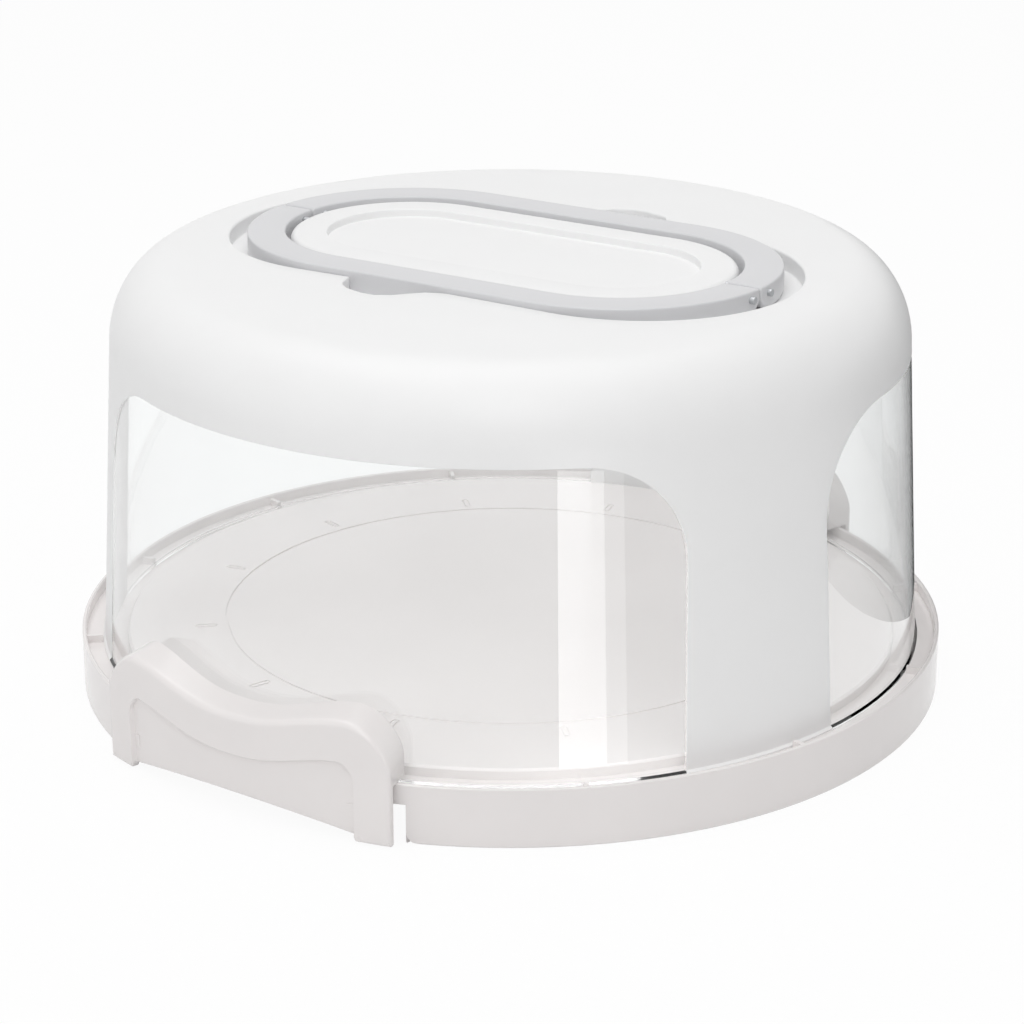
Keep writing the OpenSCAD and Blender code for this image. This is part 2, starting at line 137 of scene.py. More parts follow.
# Materials: scale of the cloudy tint in millimetres, and share of lamp light that thin plastic lets through
CLOUD_MM = 30.0
LAMPS_PASSED = 0.97

# Stage, in metres, degrees and watts
CAMERA_LENS_MM = 106.09
CAMERA_TURN = 35.67
CAMERA_PITCH = 20.394
CAMERA_PLACE = (0.5858, -0.8160, 0.4297)
CAMERA_ASIDE = 0.00044
FLOOR_REACH = 6.0
FLOOR_SEEN = 0.94
AIR_LIGHT = 0.45
# Each lamp: name, place, target, width, height, power, and whether it shows in reflections only
LAMPS = (
    ("overhead_softbox", (-0.1, -0.1, 1.9), (0, 0, 0), 1.8, 1.8, 15, False),
    ("front_softbox", (-0.42, -1.15, 0.42), (0, 0, 0.1), 0.85, 0.6, 0.9, False),
    ("high_softbox", (0.9, -1.25, 1.3), (0, 0, 0.08), 0.9, 0.9, 7, False),
    ("strip_softbox", (0.1475, -0.1345, 0.054), (0.098, -0.1015, 0.054), 0.028, 0.104, 0.032, True),
    ("dim_strip_softbox", (0.16, -0.1185, 0.054), (0.1105, -0.0855, 0.054), 0.012, 0.104, 0.005, True),
)


# Colours ---------------------------------------------------------------------

def linear(hex_colour):
    """Turn an sRGB hex colour such as "#E9E7E6" into Blender's linear values."""
    srgb = np.array([int(hex_colour[i:i + 2], 16) for i in (1, 3, 5)]) / 255
    return tuple(np.where(srgb <= 0.04045, srgb / 12.92, ((srgb + 0.055) / 1.055) ** 2.4))


# Settings --------------------------------------------------------------------

def length(name, description, default_mm):
    """A length that the sidebar shows in the scene's own unit."""
    return FloatProperty(name=name, description=description, default=default_mm * MM, min=0, unit="LENGTH",
                         precision=4)


def angle(name, description, default_deg):
    """An angle that the sidebar shows in degrees."""
    return FloatProperty(name=name, description=description, default=float(np.radians(default_deg)),
                         unit="ROTATION")


def colour(name, description, hex_colour):
    """A colour from its sRGB hex value."""
    return FloatVectorProperty(name=name, description=description, default=linear(hex_colour), min=0, max=1,
                               subtype="COLOR")


class CarrierSizes(PropertyGroup):
    """Sizes of the dressed pieces"""
    lid_radius: length("Lid radius", "Radius of the lid's wall at its foot", 144.5)
    wall: length("Lid wall", "Thickness of the lid", 2.0)
    lean: angle("Wall lean", "Lean of the lid's wall", 3.3)
    shoulder_width: length("Shoulder width", "Width of the rounded shoulder", 21.5)
    shoulder_height: length("Shoulder height", "Height of the rounded shoulder", 27.0)
    pillar: angle("Pillar", "Width of a frosted pillar between two windows", 24)
    window_height: length("Window height", "Height of the windows' top edge above the lid's foot", 104.5)
    window_corner: length("Window corner", "Corner radius of a window", 34.0)
    bar_width: length("Handle bar", "Width of a handle's bar", 13.3)
    bar_round: length("Handle rounding", "Rounding of a handle's edges", 0.7)
    latch_width: length("Latch width", "Width of a latch along its face", 120.0)
    latch_crest: length("Latch crests", "Height of a latch's two crests above the table", 41.2)
    latch_dip: length("Latch dip", "Height of the dip between the crests above the table", 34.6)
    latch_round: length("Latch rounding", "Rounding of the latch's top edge", 1.9)


class CarrierColours(PropertyGroup):
    """Colours of the carrier's plastics"""
    tray: colour("Tray and latches", "Glossy white plastic of the tray and the latches", "#EFEBEA")
    lid: colour("Frosted lid", "Frosted plastic of the lid", "#F4F4F4")
    window: colour("Windows", "Clear plastic of the windows", "#FDFEFE")
    handle: colour("Handles", "Grey plastic of the handles", "#D9D9DB")
    pin: colour("Hinge pins", "Steel of the hinge pins", "#C4C6C8")


# Meshes ----------------------------------------------------------------------

def grid_quads(rows, cols, closed=False):
    """Faces of a grid whose point (i, j) is number i * cols + j; closed joins its last column to the first."""
    i, j = np.meshgrid(np.arange(rows - 1), np.arange(cols if closed else cols - 1), indexing="ij")
    near = i * cols + j
    far = i * cols + (j + 1) % cols
    return np.stack([near, far, far + cols, near + cols], axis=-1).reshape(-1, 4)


def bridge(one, two):
    """Faces between two rows of point numbers of the same length."""
    return np.stack([one[:-1], one[1:], two[1:], two[:-1]], axis=-1)


def smooth_step(t):
    """3 t^2 - 2 t^3 between 0 and 1, flat at both ends."""
    t = np.clip(t, 0, 1)
    return t * t * (3 - 2 * t)


def points_at(x, y, z):
    """Points from x, y and z, each given for every point or once for all."""
    return np.stack(np.broadcast_arrays(x, y, z), axis=-1)


def polar(radius, degrees, z):
    """Points at a radius, a direction and a height: r cos a, r sin a, z."""
    a = np.radians(degrees)
    return points_at(radius * np.cos(a), radius * np.sin(a), z)


def turned(points, degrees):
    """Turn points about the vertical axis: x cos - y sin, x sin + y cos."""
    a = np.radians(degrees)
    x, y, z = np.moveaxis(np.asarray(points, float), -1, 0)
    return points_at(x * np.cos(a) - y * np.sin(a), x * np.sin(a) + y * np.cos(a), z)


def linked(name, data):
    """A new object in the scene that shows a mesh, a lamp or a camera."""
    made = bpy.data.objects.new(name, data)
    bpy.context.scene.collection.objects.link(made)
    return made


def make_piece(name, parts, body, material, node):
    """Join parts into one mesh that replaces a node of the frame.

    A part is a pair of its points in millimetres and its faces. Points that coincide are merged, so parts that
    meet close each other.
    """
    points, faces, start = [], [], 0
    for part_points, part_faces in parts:
        flat = np.asarray(part_points, float).reshape(-1, 3)
        points.append(flat * MM)
        faces += [[int(k) + start for k in face] for face in part_faces]
        start += len(flat)
    mesh = bpy.data.meshes.new(name)
    mesh.from_pydata(np.concatenate(points).tolist(), [], faces)
    shape = bmesh.new()
    shape.from_mesh(mesh)
    bmesh.ops.remove_doubles(shape, verts=shape.verts, dist=MERGE)
    bmesh.ops.dissolve_degenerate(shape, dist=SLIVER, edges=shape.edges)
    bmesh.ops.recalc_face_normals(shape, faces=shape.faces)
    shape.to_mesh(mesh)
    shape.free()
    mesh.shade_smooth()
    mesh.set_sharp_from_angle(angle=np.radians(SHARP_DEG))
    mesh.materials.append(material)
    piece = linked(name, mesh)
    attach(piece, body)
    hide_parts(node)


# Materials -------------------------------------------------------------------

def add(tree, kind, inputs=None, **settings):
    """Add one shader node, set its properties, and set or link its inputs."""
    made = tree.nodes.new(kind)
    for key, value in settings.items():
        setattr(made, key, value)
    for key, value in (inputs or {}).items():
        if isinstance(value, bpy.types.NodeSocket):
            tree.links.new(value, made.inputs[key])
        else:
            made.inputs[key].default_value = value
    return made


def empty_tree(owner):
    """The node tree of a material or of the world, switched on and cleared."""
    owner.use_nodes = True
    owner.node_tree.nodes.clear()
    return owner.node_tree


def seen_share(tree):
    """1 where a camera, glossy or transmission ray arrives, and 0 where light only falls on something."""
    path = add(tree, "ShaderNodeLightPath")
    seen = add(tree, "ShaderNodeMath", {0: path.outputs["Is Camera Ray"], 1: path.outputs["Is Glossy Ray"]},
               operation="MAXIMUM")
    seen = add(tree, "ShaderNodeMath", {0: seen.outputs[0], 1: path.outputs["Is Transmission Ray"]},
               operation="MAXIMUM")
    return seen.outputs[0]


def moulded(name, base, roughness, grain_mm, relief_mm, tint, **sockets):
    """An injection-moulded plastic: cloudy tint on a scale of centimetres, and the mould's grain as low relief."""
    material = bpy.data.materials.new(name)
    tree = empty_tree(material)
    place = add(tree, "ShaderNodeTexCoord").outputs["Object"]
    cloud = add(tree, "ShaderNodeTexNoise", {"Vector": place, "Scale": 1 / (CLOUD_MM * MM), "Detail": 2.0})
    shade = add(tree, "ShaderNodeMapRange", {"Value": cloud.outputs["Fac"], "From Min": 0.3, "From Max": 0.7,
                                             "To Min": 1 - tint, "To Max": 1.0})
    body_colour = add(tree, "ShaderNodeMix", {"Factor": 1.0, "A": (*base, 1), "B": shade.outputs["Result"]},
                      data_type="RGBA", blend_type="MULTIPLY")
    grain = add(tree, "ShaderNodeTexNoise", {"Vector": place, "Scale": 1 / (grain_mm * MM), "Detail": 3.0})
    relief = add(tree, "ShaderNodeBump", {"Height": grain.outputs["Fac"], "Distance": relief_mm * MM,
                                          "Strength": 1.0})
    polish = add(tree, "ShaderNodeMapRange", {"Value": cloud.outputs["Fac"], "To Min": roughness * 0.9,
                                              "To Max": roughness * 1.1})
    surface = add(tree, "ShaderNodeBsdfPrincipled", {
        "Base Color": body_colour.outputs["Result"], "Roughness": polish.outputs["Result"],
        "Normal": relief.outputs["Normal"], **sockets})
    add(tree, "ShaderNodeOutputMaterial", {"Surface": surface.outputs["BSDF"]})
    return material


def lamps_through(material):
    """Let a share of lamp light through a material, as thin plastic does; its own look doesn't change."""
    tree = material.node_tree
    end = next(n for n in tree.nodes if n.type == "OUTPUT_MATERIAL")
    surface = end.inputs["Surface"].links[0].from_socket
    path = add(tree, "ShaderNodeLightPath")
    light = add(tree, "ShaderNodeBsdfTransparent", {"Color": (LAMPS_PASSED, LAMPS_PASSED, LAMPS_PASSED, 1)})
    both = add(tree, "ShaderNodeMixShader", {0: path.outputs["Is Shadow Ray"], 1: surface,
                                             2: light.outputs["BSDF"]})
    tree.links.new(both.outputs["Shader"], end.inputs["Surface"])
    return material


def gloss_white_abs(colours):
    """Polished ABS: opaque warm white with a clear gloss and a trace of orange peel."""
    return moulded("gloss_white_abs", colours.tray, roughness=0.15, grain_mm=6.0, relief_mm=0.004, tint=0.02,
                   IOR=1.54)


def frosted_san(colours):
    """SAN from a sandblasted mould: milky, lets some light through, with a soft broad sheen."""
    milky = {"IOR": 1.5, "Subsurface Weight": 0.2, "Subsurface Radius": (1.0, 1.0, 1.0),
             "Subsurface Scale": 0.003}
    return lamps_through(moulded("frosted_san", colours.lid, roughness=0.42, grain_mm=0.9, relief_mm=0.006,
                                 tint=0.012, **milky))


def clear_san(colours):
    """SAN from a polished mould: clear as glass, with slight waves of the moulding; lamps shine through it."""
    material = bpy.data.materials.new("clear_san")
    tree = empty_tree(material)
    wave_mm, relief_mm = 40, 0.02
    place = add(tree, "ShaderNodeTexCoord").outputs["Object"]
    waves = add(tree, "ShaderNodeTexNoise", {"Vector": place, "Scale": 1 / (wave_mm * MM), "Detail": 1.0})
    relief = add(tree, "ShaderNodeBump", {"Height": waves.outputs["Fac"], "Distance": relief_mm * MM,
                                          "Strength": 1.0})
    pane = add(tree, "ShaderNodeBsdfPrincipled", {
        "Base Color": (*colours.window, 1), "Roughness": 0.02, "IOR": 1.57, "Transmission Weight": 1.0,
        "Normal": relief.outputs["Normal"]})
    add(tree, "ShaderNodeOutputMaterial", {"Surface": pane.outputs["BSDF"]})
    return lamps_through(material)


def satin_grey_pp(colours):
    """Polypropylene with a fine satin grain: light grey, softly shiny."""
    return moulded("satin_grey_pp", colours.handle, roughness=0.32, grain_mm=0.8, relief_mm=0.004, tint=0.015,
                   IOR=1.49)


def drawn_steel(colours):
    """Drawn steel wire cut into pins: bright, with a faint unevenness left by the drawing."""
    return moulded("drawn_steel", colours.pin, roughness=0.45, grain_mm=0.5, relief_mm=0.003, tint=0.05,
                   Metallic=1.0)


def material_named(name):
    """The material of that name, made on its first use."""
    makers = {maker.__name__: maker
              for maker in (gloss_white_abs, frosted_san, clear_san, satin_grey_pp, drawn_steel)}
    return bpy.data.materials.get(name) or makers[name](bpy.context.scene.carrier_colours)


# Lid and windows -------------------------------------------------------------

def inner_degrees(sizes):
    """Half a window's width in degrees, up to where its corner starts: 60 less half a pillar and the corner."""
    corner = np.degrees(np.arcsin(sizes.window_corner / sizes.lid_radius))
    return 60 - np.degrees(sizes.pillar) / 2 - corner


def window_top(sizes):
    """Height of the windows' top edge above the table."""
    return LID_FOOT_Z + sizes.window_height / MM


def shoulder_z(sizes):
    """Height at which the wall turns into the shoulder."""
    return LID_TOP_Z - CROWN - sizes.shoulder_height / MM


def crown_z(r):
    """Height of the crowned top at the radius r: the top less crown (r / r0)^2."""
    return LID_TOP_Z - CROWN * (r / CROWN_REACH) ** 2


def plain_radius(sizes, z):
    """Radius of the leaning wall at the height z, without its bead: it shrinks by the tangent of the lean."""
    return sizes.lid_radius / MM - (z - LID_FOOT_Z) * np.tan(sizes.lean)


def wall_radius(sizes, z):
    """Radius of the lid's outer wall at the height z: the leaning wall, with a bead round its foot."""
    wall, bead, above = plain_radius(sizes, z), sizes.lid_radius / MM + BEAD, z - LID_FOOT_Z
    return np.where(above < BEAD_H - BEAD, bead,
                    np.where(above < BEAD_H, bead + (wall - bead) * (above - BEAD_H + BEAD) / BEAD, wall))


def window_half_degrees(sizes, z):
    """Half a window's width at the height z: straight sides, then a round corner of sqrt(R^2 - dz^2)."""
    corner = sizes.window_corner / MM
    dz = np.clip(z - (window_top(sizes) - corner), 0, corner)
    across = np.sqrt(np.maximum(corner ** 2 - dz ** 2, 0))
    return inner_degrees(sizes) + np.degrees(np.arcsin(across / wall_radius(sizes, z)))


def wall_heights(sizes, corner_rows=18, straight_rows=16):
    """Heights of the wall's rows from the windows' top edge down, close together round the corner."""
    corner = sizes.window_corner / MM
    corner_z = window_top(sizes) - corner
    rounded = corner_z + corner * np.sin(np.linspace(np.pi / 2, 0, corner_rows))
    straight = np.linspace(corner_z, LID_FOOT_Z + BEAD_H, straight_rows)[1:]
    return np.concatenate([rounded, straight, [LID_FOOT_Z + BEAD_H - BEAD, LID_FOOT_Z]])


def wall_strip(sizes, z, across, set_back=0.0, topped=False):
    """A part that is a strip of the wall, with a row at each height z and a column at each direction across.

    Its outer and inner face are joined at both sides and below, and where it is topped above as well.
    """
    front = polar(wall_radius(sizes, z)[:, None] - set_back, across, z[:, None])
    back = polar((plain_radius(sizes, z) - sizes.wall / MM)[:, None], across, z[:, None])
    number = np.arange(across.size).reshape(across.shape)
    lines = [number[:, 0], number[:, -1], number[-1]] + ([number[0]] if topped else [])
    skin = grid_quads(*across.shape)
    rims = [bridge(line, line + across.size) for line in lines]
    points = np.concatenate([front.reshape(-1, 3), back.reshape(-1, 3)])
    return turned(points, LID_TURN), np.concatenate([skin, skin + across.size, *rims])


class Ring:
    """Directions of the lid's columns, each with its place on a bar shape: a spine share and an outward normal."""

    def __init__(self, degrees):
        c, s = np.cos(np.radians(degrees)), np.sin(np.radians(degrees))
        straight = POCKET_R * np.abs(c) <= POCKET_HALF * np.abs(s)
        reach = POCKET_HALF * np.abs(c) + np.sqrt(np.maximum(POCKET_R ** 2 - (POCKET_HALF * s) ** 2, 0))
        reach = np.where(straight, POCKET_R / np.maximum(np.abs(s), 1e-6), reach)
        self.degrees = degrees
        self.spine = np.clip(reach * c / POCKET_HALF, -1, 1)
        self.nx = np.where(straight, 0, (reach * c - np.sign(c) * POCKET_HALF) / POCKET_R)
        self.ny = np.where(straight, np.sign(s), reach * s / POCKET_R)

    def outline(self, half, radius, scoop=0.0):
        """Plan of a bar shape, with the two finger scoops pushed out of its long sides."""
        x = half * self.spine + radius * self.nx
        y = radius * self.ny
        flat = np.abs(self.ny) > 0.999
        push = np.interp(np.sign(self.ny) * x, SCOOP_ALONG, SCOOP_PUSH)
        return x, y + np.sign(self.ny) * push * scoop * flat

    def row(self, half, radius, z, scoop=0.0):
        """Points of a bar shape at one height."""
        return points_at(*self.outline(half, radius, scoop), z)


def island_profile():
    """Radii and heights from the dish's middle over the island and down its side to the pocket's floor."""
    bend, long_bend = np.linspace(0, np.pi / 2, 5), np.linspace(0, np.pi / 2, 9)
    sin, cos = np.sin(bend), np.cos(bend)
    floor_z = ISLAND_TOP_Z - DISH_DEPTH
    profile = [(r, floor_z) for r in (12, 24, DISH_R - 2 * DISH_FOOT)]
    profile += zip(DISH_R - DISH_FOOT + DISH_FOOT * sin, floor_z + DISH_FOOT - DISH_FOOT * cos)
    profile += zip(DISH_R + DISH_EDGE * (1 - cos), ISLAND_TOP_Z - DISH_EDGE + DISH_EDGE * sin)
    profile += [(36, ISLAND_TOP_Z)]
    profile += zip(ISLAND_R - ISLAND_ROUND + ISLAND_ROUND * np.sin(long_bend),
                   ISLAND_TOP_Z - ISLAND_ROUND + ISLAND_ROUND * np.cos(long_bend))
    profile += zip(ISLAND_R + POCKET_FOOT * (1 - cos), POCKET_Z + POCKET_FOOT - POCKET_FOOT * sin)
    return profile


def top_rows(sizes, ring, inside):
    """Rows of the lid's top from the middle outwards: dish, island, handle pocket, crown and shoulder.

    Each row is a bar shape of one radius and height. The outer face of the shell runs through fillets, and the
    inner face lies one wall thickness below or beside it.
    """
    cut = sizes.wall / MM if inside else 0
    profile = [(RING_HALF, r, z, 0) for r, z in island_profile()]
    profile += [(RING_HALF + k * (POCKET_HALF - RING_HALF), r, POCKET_Z, k)
                for k, r in ((0.3, 49), (1, POCKET_R - POCKET_FOOT))]
    rows = []
    for half, r, z, scoop in profile:
        if inside:
            # Outwards from the dish's side, inwards from the island's, and nowhere below the pocket's underside
            r = r + cut if abs(r - DISH_R) < 0.5 else r
            r, z = (min(r, ISLAND_R - cut), z - cut) if r < ISLAND_R + 0.3 else (r, POCKET_Z - cut)
            z = max(z, POCKET_Z - cut)
        rows.append(ring.row(half, r, z, scoop))
    bend = np.linspace(0, np.pi / 2, 5)
    for b in bend[1:]:
        rows.append(ring.row(POCKET_HALF, POCKET_R - POCKET_FOOT + POCKET_FOOT * np.sin(b) + cut,
                             POCKET_Z + POCKET_FOOT * (1 - np.cos(b)) - cut, 1))
    for b in bend:
        x, y = ring.outline(POCKET_HALF, POCKET_R + POCKET_EDGE * (1 - np.cos(b)) + cut, 1)
        rows.append(points_at(x, y, crown_z(np.hypot(x, y)) - POCKET_EDGE * (1 - np.sin(b)) - cut))
    crown_r = wall_radius(sizes, shoulder_z(sizes)) - sizes.shoulder_width / MM
    circle = polar(crown_r - cut / 2, ring.degrees, 0.0)
    x0, y0 = x, y
    for k in np.linspace(0, 1, 12)[1:]:
        x = x0 + k * (circle[:, 0] - x0)
        y = y0 + k * (circle[:, 1] - y0)
        rows.append(points_at(x, y, crown_z(np.hypot(x, y)) - cut))
    for a in np.linspace(np.pi / 2, 0, 20)[1:]:
        r = crown_r - cut / 2 + (sizes.shoulder_width / MM - cut / 2) * np.cos(a) ** (2 / SHOULDER_POWER)
        z = shoulder_z(sizes) + (sizes.shoulder_height / MM - cut) * np.sin(a) ** (2 / SHOULDER_POWER)
        rows.append(polar(r, ring.degrees, z))
    top = window_top(sizes)
    rows.append(polar(wall_radius(sizes, top) - cut, ring.degrees, top))
    return np.array(rows)


def make_lid(sizes):
    """The frosted shell: its top, and three pillars whose edges follow the windows' borders."""
    inner = inner_degrees(sizes)
    n_window, n_pillar = 84, 60
    centres = WINDOW_TURN + 120 * np.arange(3)
    degrees = np.concatenate([np.concatenate([
        np.linspace(c - inner, c + inner, n_window, endpoint=False),
        np.linspace(c + inner, c + 120 - inner, n_pillar, endpoint=False)]) for c in centres])
    ring = Ring(degrees)
    outer, inside = top_rows(sizes, ring, False), top_rows(sizes, ring, True)
    rows, cols = outer.shape[:2]
    size = rows * cols
    quads = grid_quads(rows, cols, closed=True)
    faces = [quads, quads + size]
    for k in range(3):
        span = (np.arange(n_window + 1) + k * (n_window + n_pillar)) % cols + size - cols
        faces.append(bridge(span, span + size))
    middles = [list(range(start, start + cols)) for start in (0, size)]
    both = np.concatenate([outer.reshape(-1, 3), inside.reshape(-1, 3)])
    parts = [(turned(both, LID_TURN), np.concatenate(faces).tolist() + middles)]
    z = wall_heights(sizes)
    narrowing = (60 - window_half_degrees(sizes, z)) / (60 - inner)
    base = np.linspace(inner - 60, 60 - inner, n_pillar + 1)
    for c in centres:
        parts.append(wall_strip(sizes, z, base[None, :] * narrowing[:, None] + c + 60))
    make_piece("lid_frosted_shell", parts, "lid", material_named("frosted_san"), "lid_shell")


def make_window(sizes, index):
    """One clear pane: a strip of the wall inside the window's border, set back a little from the shell's face."""
    z = wall_heights(sizes)
    z[0] -= PANE_DROP
    half = window_half_degrees(sizes, z) - PANE_GAP_DEG
    share = np.sin(np.linspace(-np.pi / 2, np.pi / 2, 57))
    across = share[None, :] * half[:, None] + WINDOW_TURN + 120 * index
    make_piece(f"window_pane_{index + 1}", [wall_strip(sizes, z, across, PANE_BACK, topped=True)], "lid",
               material_named("clear_san"), f"window_{index + 1}")


# Handles ---------------------------------------------------------------------

def rounded_section(r0, r1, z0, z1, radius, steps=5):
    """A rectangle with round corners as a closed loop that starts at the middle of its top, in r and z."""
    bend = np.linspace(0, np.pi / 2, steps)
    mid = (r0 + r1) / 2
    right = [(mid, z1)]
    right += [(r1 - radius + radius * np.sin(b), z1 - radius + radius * np.cos(b)) for b in bend]
    right += [(r1, (z0 + z1) / 2)]
    right += [(r1 - radius + radius * np.cos(b), z0 + radius - radius * np.sin(b)) for b in bend]
    left = [(2 * mid - r, z) for r, z in right[:0:-1]]
    return np.array(right + [(mid, z0)] + left)


def make_handle(sizes, rear):
    """One half of the ring: a bar section carried round half a bar shape, with a round knuckle at both ends.

    The section's points, r and z, run from seam to seam. Each end lies at y = -p + sqrt(k^2 - (z - h)^2), the
    knuckle's circle round the hinge line, in the directions of the turned seam.
    """
    inner_r = RING_R - sizes.bar_width / MM
    seam = np.radians(SEAM_TURN)
    loops = [rounded_section(inner_r + inset, RING_R - inset, BAR_LOW_Z + inset, BAR_TOP_Z - inset,
                             sizes.bar_round / MM) for _, inset in TIP_EDGE]
    full = loops[-1]

    def tip(loop, back, side):
        """Direction of each section point on the end's arc, from the middle of the ring's round end."""
        r, z = loop[:, 0], loop[:, 1]
        reach = np.sqrt(np.maximum(KNUCKLE_R ** 2 - (z - HINGE_Z) ** 2, 0)) - back
        y = (-HINGE_IN + reach + side * (RING_HALF + r) * np.sin(seam)) / np.cos(seam)
        return np.arcsin(y / r)

    def round_end(side):
        """Sections of one round end, from its tip to where the bar runs straight."""
        stations = [(loop, tip(loop, back, side)) for loop, (back, _) in zip(loops[:-1], TIP_EDGE)]
        start = tip(full, TIP_EDGE[-1][0], side)
        stations += [(full, start + k * (-np.pi / 2 - start)) for k in np.linspace(0, 1, 40)]
        return [points_at(side * (RING_HALF + loop[:, 0] * np.cos(a)), loop[:, 0] * np.sin(a), loop[:, 1])
                for loop, a in stations]

    straight = [points_at(x, -full[:, 0], full[:, 1]) for x in np.linspace(-RING_HALF, RING_HALF, 24)[1:-1]]
    rings = np.array(round_end(-1) + straight + round_end(1)[::-1])
    n, m = rings.shape[:2]
    number = np.arange(n * m).reshape(n, m)
    faces = [grid_quads(n, m, closed=True)]
    k = np.arange(m // 2)
    for row in (number[0], number[-1]):
        faces.append(np.stack([row[k], row[k + 1], row[(m - k - 1) % m], row[(m - k) % m]], axis=-1))
    # The first and last face of each end name one point twice, so they become triangles
    faces = [list(dict.fromkeys(face)) for face in np.concatenate(faces).tolist()]
    name, body, node = (("rear_handle_bar", "rear_handle", "handle_rear") if rear else
                        ("front_handle_bar", "front_handle", "handle_front"))
    make_piece(name, [(turned(rings, LID_TURN + (180 if rear else 0)), faces)], body,
               material_named("satin_grey_pp"), node)


# Latches ---------------------------------------------------------------------

def quarter(u, power):
    """A quarter of a superellipse: (1 - u^n)^(1/n), from 1 at u = 0 to 0 at u = 1."""
    return np.maximum(0, 1 - np.clip(u, 0, 1) ** power) ** (1 / power)


def crest_place(sizes):
    """Distance of a latch's crests from the middle of its face."""
    return sizes.latch_width / MM / 2 - CREST_IN


def edge_height(sizes, s):
    """Height of a latch's top edge at s along its face: a dip, two crests and a round fall to the ends."""
    half, crest_s = sizes.latch_width / MM / 2, crest_place(sizes)
    crest, dip, end = sizes.latch_crest / MM, sizes.latch_dip / MM, LIP_Z + LIP_T + END_RISE
    s = np.abs(s)
    rise = dip + (crest - dip) * ((1 - np.cos(np.pi * np.clip(s / crest_s, 0, 1))) / 2) ** DIP_POWER
    fall = end + (crest - end) * quarter((s - crest_s) / (half - crest_s), END_POWER)
    return np.where(s < crest_s, rise, fall)


def panel_height(sizes, s):
    """Height of the sunk panel's top edge: the latch's edge less a drop, with a round corner at each side."""
    s = np.minimum(np.abs(s), PANEL_HALF)
    corner = CORNER_H * (1 - quarter((s - PANEL_HALF + CORNER_L) / CORNER_L, 2))
    edge = edge_height(sizes, np.minimum(s, crest_place(sizes)))
    return edge - PANEL_DROP - np.where(s > PANEL_HALF - CORNER_L, corner, 0)


def ear(side):
    """A part that is a hinge knuckle beside a latch's panel.

    It has a round end on the hinge line, and straight sides that run to the front wall.
    """
    bend = np.linspace(-np.pi / 2, np.pi / 2, 12)
    ends = []
    for x in EAR_X:
        wall = -(FACE_Y - FACE_R + np.sqrt(FACE_R ** 2 - x ** 2)) + LATCH_T / 2
        y = np.concatenate([-LATCH_HINGE_Y + EAR_R * np.cos(bend), [wall, wall]])
        z = np.concatenate([LATCH_HINGE_Z + EAR_R * np.sin(bend), [LATCH_HINGE_Z + EAR_R, LATCH_HINGE_Z - EAR_R]])
        ends.append(points_at(side * x, y, z))
    count = len(ends[0])
    faces = grid_quads(2, count, closed=True).tolist()
    return np.array(ends), faces + [list(range(count)), list(range(count, 2 * count))]


def latch_columns(half):
    """Places along a latch's face, close together at its ends and at the sides of the sunk panel.

    The left half is its rounded end and four even stretches, each with its start, end and number of places.
    """
    stretches = ((-half + 1.8, -PANEL_HALF - 0.8, 18), (-PANEL_HALF - 0.6, -PANEL_HALF + 0.9, 8),
                 (-PANEL_HALF + 1.3, -PANEL_HALF + 7, 12), (-PANEL_HALF + 7.8, 0, 44))
    left = np.concatenate([-half + END_ROUND * (1 - np.cos(np.linspace(0, np.pi / 2, 7))),
                           *(np.linspace(*stretch) for stretch in stretches)])
    return np.concatenate([left, -left[-2::-1]])


